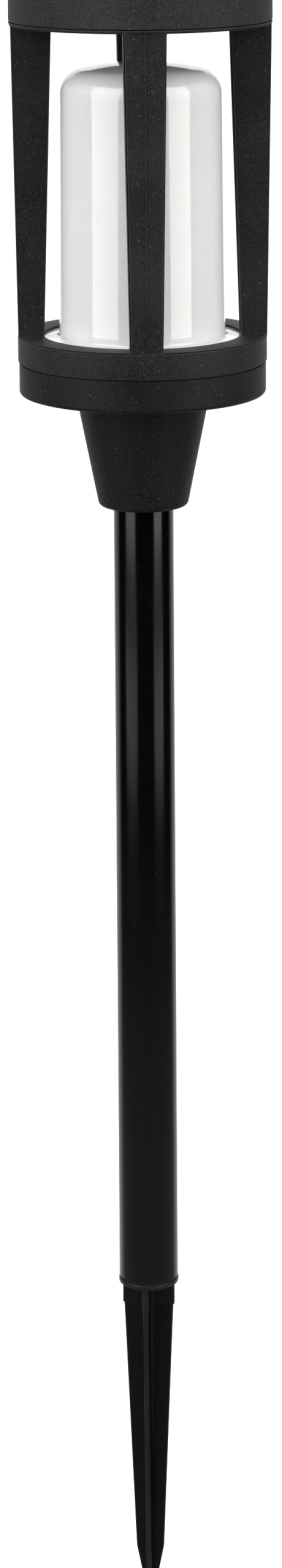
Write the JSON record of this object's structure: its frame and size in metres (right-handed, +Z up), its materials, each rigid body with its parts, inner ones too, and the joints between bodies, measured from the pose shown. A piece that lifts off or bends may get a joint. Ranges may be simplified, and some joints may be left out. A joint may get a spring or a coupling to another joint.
{
  "type": "solar garden torch",
  "caption": "Solar LED flame torch: ribbed lantern head with an opal diffuser on a tube pole with a ground stake.",
  "frame": {"origin": "on the axis at the ground line, the underside of the stake's collar", "axes": "+Z up along the pole, -Y to the front, ribs of the cage on +X, +Y, -X and -Y"},
  "size_m": [0.1216, 0.1216, 0.7891],
  "materials": {
    "head_plastic": "fine moulded grain, charcoal black",
    "pole_plastic": "satin black tube",
    "stake_plastic": "plain moulded black",
    "opal_plastic": "glossy opal white",
    "white_plastic": "plain moulded white",
    "black_inner": "plain black",
    "seal_rubber": "soft rubber",
    "button_rubber": "soft rubber cap",
    "foam_tape": "white foam tape",
    "screw_steel": "zinc plated",
    "nickel_plate": "nickel plated spring steel",
    "board_green": "solder mask on glass fibre board",
    "board_white": "white solder mask",
    "chip_black": "epoxy packages",
    "led_amber": "phosphor in a white case",
    "cell_blue": "silicon cell",
    "clear_resin": "clear potting resin",
    "battery_wrap": "shrink sleeve",
    "wire_black": "flexible insulation",
    "wire_red": "flexible insulation"
  },
  "bodies": {
    "stake": {"stake": "stake_plastic"},
    "pole": {"pole": "pole_plastic"},
    "head": {"base_cup": "head_plastic", "cage": "head_plastic", "cap": "head_plastic", "rib_cover_front": "head_plastic", "rib_cover_right": "head_plastic", "rib_cover_rear": "head_plastic", "rib_cover_left": "head_plastic", "diffuser": "opal_plastic", "base_screws": "screw_steel", "cap_screws": "screw_steel", "core_screws": "screw_steel", "board_screws": "screw_steel", "button_bezel": "seal_rubber", "push_switch": "black_inner", "control_board": "board_green", "board_parts": "chip_black", "board_connectors": "white_plastic", "cup_seal": "seal_rubber", "diffuser_seal": "seal_rubber", "cap_seal": "seal_rubber", "base_tray": "white_plastic", "led_core": "white_plastic", "led_flex": "board_white", "leds": "led_amber", "led_leads": "wire_red", "battery_holder": "black_inner", "battery": "battery_wrap", "battery_contacts": "nickel_plate", "battery_spring": "nickel_plate", "battery_leads": "wire_red", "panel_lead": "wire_black", "panel_tape": "foam_tape", "panel_board": "board_white", "solar_cells": "cell_blue", "panel_cover": "clear_resin"},
    "power_button": {"power_button": "button_rubber"}
  },
  "joints": [
    {"name": "pole_lift", "type": "slide", "parent": "stake", "child": "pole", "axis": [0, 0, 1], "range_m": [0, 0.038]},
    {"name": "head_lift", "type": "slide", "parent": "pole", "child": "head", "axis": [0, 0, 1], "range_m": [0, 0.05]},
    {"name": "button_press", "type": "slide", "parent": "head", "child": "power_button", "axis": [0, 0, 1], "range_m": [0, 0.0015], "stiffness_N_per_m": 500, "springref_m": -0.001}
  ]
}
